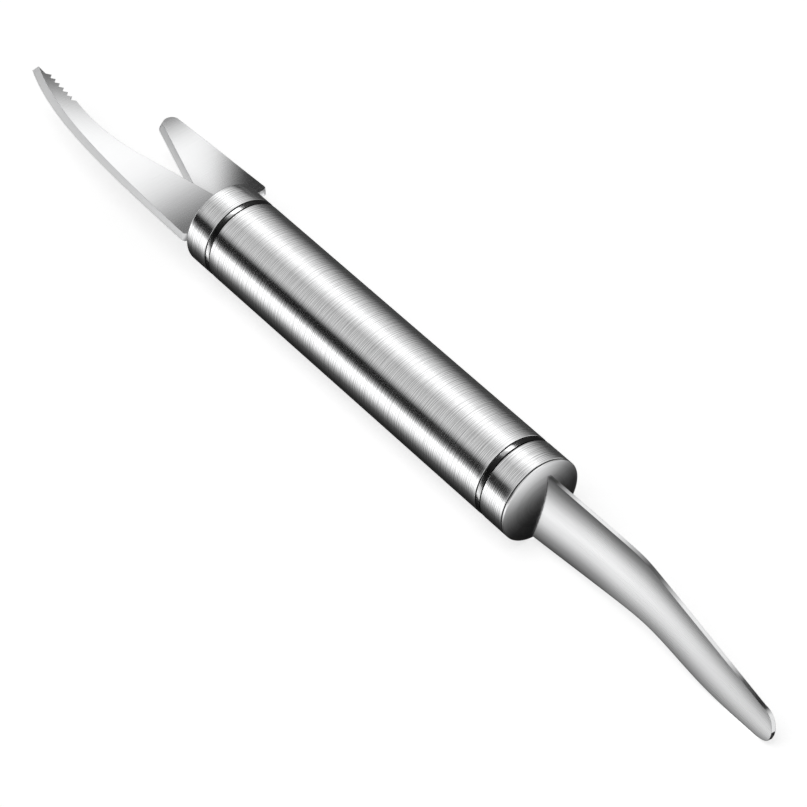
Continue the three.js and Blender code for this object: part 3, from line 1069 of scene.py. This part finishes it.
# The cap card lies just over the cap's face and paints its reflection.
card(
    "cap_card",
    [(CAP_X + CAP_LIFT, AXIS_Y + CAP_CARD_RADIUS * math.cos(angle),
      AXIS_Z - CAP_CARD_RADIUS * math.sin(angle)) for angle in cap_angles],
    even(1.0), painted_cap_reflection, one_way=True,
)

LIP_LIFT = 0.1
LIP_HEIGHTS = 0.2, -1.3


def lip_strip():
    """Points close along the scraper's upper lip and round its tip."""
    edge = [Vector((reach, high)) for reach, _, high in scraper_stations()]
    points = []
    for before, here, after in zip(edge[:1] + edge, edge, edge[1:] + edge[-1:]):
        run = (after - before).normalized()
        beside = here + Vector((-run.y, run.x)) * LIP_LIFT
        points += [scraper_point(beside.x, beside.y, height) for height in LIP_HEIGHTS]
    return points


def painted_lip_reflection(shader):
    """Painted reflection along the lip: dark at the root, at the bend and before the tip."""
    stops = [
        (2, 0.06), (9, 1.0), (19, 1.0), (29, 0.1), (32, 0.13), (39, 1.0), (52, 0.9), (57, 0.12),
        (62, 0.02), (63.5, 0.05), (65, 0.9),
    ]
    return slope(shader, (1, 0, 0), [(CAP_X / MM + run, level) for run, level in stops])


lip_points = lip_strip()
# The lip card lies just beside the upper lip and paints its reflection.
card(
    "lip_card", lip_points, even(1.0), painted_lip_reflection, one_way=True,
    faces=grid_faces(lip_points, len(LIP_HEIGHTS)),
)

TROUGH_SPAN = 1.1
TROUGH_COLUMNS = 44
TROUGH_LIFT = 0.2
ROOT_ENDS, TIP_STARTS = 20, 60
BEND_REACH, BEND_RUN, BEND_SWING = 28, 11, 0.041


def trough_grid():
    """Points close over the scraper's hollow, and how far across and along it each one counts."""
    points = []
    marks = []
    for reach, low, high in scraper_stations():
        swing = BEND_SWING * math.exp(-((reach - BEND_REACH) / BEND_RUN) ** 2)
        for j in range(TROUGH_COLUMNS + 1):
            share = j / TROUGH_COLUMNS
            w = (low + high) / 2 + (high - low) / 2 * TROUGH_SPAN * (2 * share - 1)
            points.append(scraper_point(reach, w, TROUGH_LIFT - hollow(reach, low, high, w)))
            marks.append((share + swing, reach / SCRAPER_REACH))
    return points, marks


def painted_trough_reflection(shader):
    """Painted reflection across the scraper's hollow: dark lips and a bright middle, softer towards
    the tip.
    """
    place = shader.axes(shader.node("ShaderNodeTexCoord").outputs["UV"])

    def across(stops):
        return shader.levels(
            place["X"], [((u / TROUGH_SPAN + 1) / 2, level) for u, level in stops],
        )

    near_root = across([
        (-0.97, 0.09), (-0.77, 0.33), (-0.48, 0.86), (-0.17, 1.1), (0.12, 0.92), (0.41, 0.53),
        (0.70, 0.22), (0.95, 0.1),
    ])
    near_tip = across([
        (-0.97, 0.24), (-0.61, 0.64), (-0.33, 0.81), (0.0, 0.74), (0.3, 0.54), (0.76, 0.27),
    ])
    towards_tip = shader.spread(
        place["Y"], 0.0, 1.0, ROOT_ENDS / SCRAPER_REACH, TIP_STARTS / SCRAPER_REACH,
    )
    return shader.mix(towards_tip, near_root, near_tip)


trough_points, trough_marks = trough_grid()
# The trough card lies just over the hollow and paints its reflection.
trough = card(
    "trough_card", trough_points, even(1.0), painted_trough_reflection, one_way=True,
    faces=grid_faces(trough_points, TROUGH_COLUMNS + 1),
)
layer = trough.data.uv_layers.new(name="across_and_along")
for loop in trough.data.loops:
    layer.data[loop.index].uv = trough_marks[loop.vertex_index]

ALONG = Vector((1, 0, 0))
LAMP_FOOT = -9.1


def panel(name, centre, target, width, height, level, receivers):
    """A soft lamp of the light level given, which lights only the pieces named.

    Its centre and what it faces are in millimetres from the middle of the handle.
    """
    data = bpy.data.lights.new(name, "AREA")
    data.shape = "RECTANGLE"
    data.size, data.size_y = width * MM, height * MM
    data.energy = 4 * data.size * data.size_y * level
    obj = bpy.data.objects.new(name, data)
    away = (Vector(centre) - Vector(target)).normalized()
    side = (ALONG - away * ALONG.dot(away)).normalized()
    turn = Matrix((side, away.cross(side), away)).transposed().to_4x4()
    obj.matrix_world = Matrix.Translation(MIDDLE + Vector(centre) * MM) @ turn
    obj.visible_camera = False
    group = bpy.data.collections.new(f"{name}_receivers")
    for receiver in receivers:
        group.objects.link(receiver)
    obj.light_linking.receiver_collection = group
    bpy.context.scene.collection.objects.link(obj)


def floor_panel(name, x, y, width, height, level, receivers):
    """A lamp that lies on the floor and faces up."""
    panel(name, (x, y, LAMP_FOOT), (x, y, 0), width, height, level, receivers)


panel("ring_strip_high", (-170, 62, 250), (0, 0, 0), 420, 105, level=62, receivers=rings)
panel("ring_strip_soft", (-170, -22, 256), (0, 0, 0), 420, 75, level=17, receivers=rings)
floor_panel("ring_strip_low", -25, -46, 190, 52, level=24, receivers=rings)
panel("bevel_glow", (-262, -124, 50), (-110, -5, 0), 110, 120, level=0.58, receivers=[curved])
floor_panel("teeth_glow", -101, 5, 22, 14, level=0.7, receivers=[curved])
floor_panel("notch_glow", -98, -11, 64, 26, level=0.75, receivers=[prong])
floor_panel("shoulder_glow", -47, 13, 16, 12, level=1.5, receivers=[prong])


# Light and camera

SUN_STRENGTH = 0.75
SUN_WIDTH = math.radians(50)
SUN_AHEAD = Vector((0.25, 0.35, -1.0))
SKY_FILL, SKY_SEEN = 0.16, 1.0
LENS, SENSOR = 162.42, 36
CAMERA_PLACE = Vector((402.462, -320.385, 515.522))
CAMERA_RIGHT = Vector((0.63151, 0.77536, 0.0))
CAMERA_UP = Vector((-0.55602, 0.45286, 0.69697))
CAMERA_AHEAD = Vector((-0.54040, 0.44014, -0.71710))

sun_data = bpy.data.lights.new("soft_key", "SUN")
sun_data.energy = SUN_STRENGTH
sun_data.angle = SUN_WIDTH
sun = bpy.data.objects.new("soft_key", sun_data)
sun.rotation_euler = SUN_AHEAD.to_track_quat("-Z", "Y").to_euler()
sun.visible_glossy = False
bpy.context.scene.collection.objects.link(sun)

world = bpy.data.worlds.new("studio")
world.use_nodes = True
bpy.context.scene.world = world
sky = Nodes(world.node_tree)
background = sky.tree.nodes["Background"]
background.inputs["Color"].default_value = (1, 1, 1, 1)
strength = sky.spread(seen_rays(sky), SKY_FILL, SKY_SEEN, 0.0, 1.0)
sky.tree.links.new(strength, background.inputs["Strength"])

camera_data = bpy.data.cameras.new("photo_view")
camera_data.sensor_fit = "HORIZONTAL"
camera_data.sensor_width = SENSOR
camera_data.lens = LENS
camera_data.clip_start = 0.02
camera_data.clip_end = 60
camera = bpy.data.objects.new("photo_view", camera_data)
camera_turn = Matrix((CAMERA_RIGHT, CAMERA_UP, -CAMERA_AHEAD)).transposed().to_4x4()
camera.matrix_world = Matrix.Translation(MIDDLE + CAMERA_PLACE * MM) @ camera_turn
bpy.context.scene.collection.objects.link(camera)
bpy.context.scene.camera = camera

bpy.context.scene.view_settings.view_transform = "Standard"
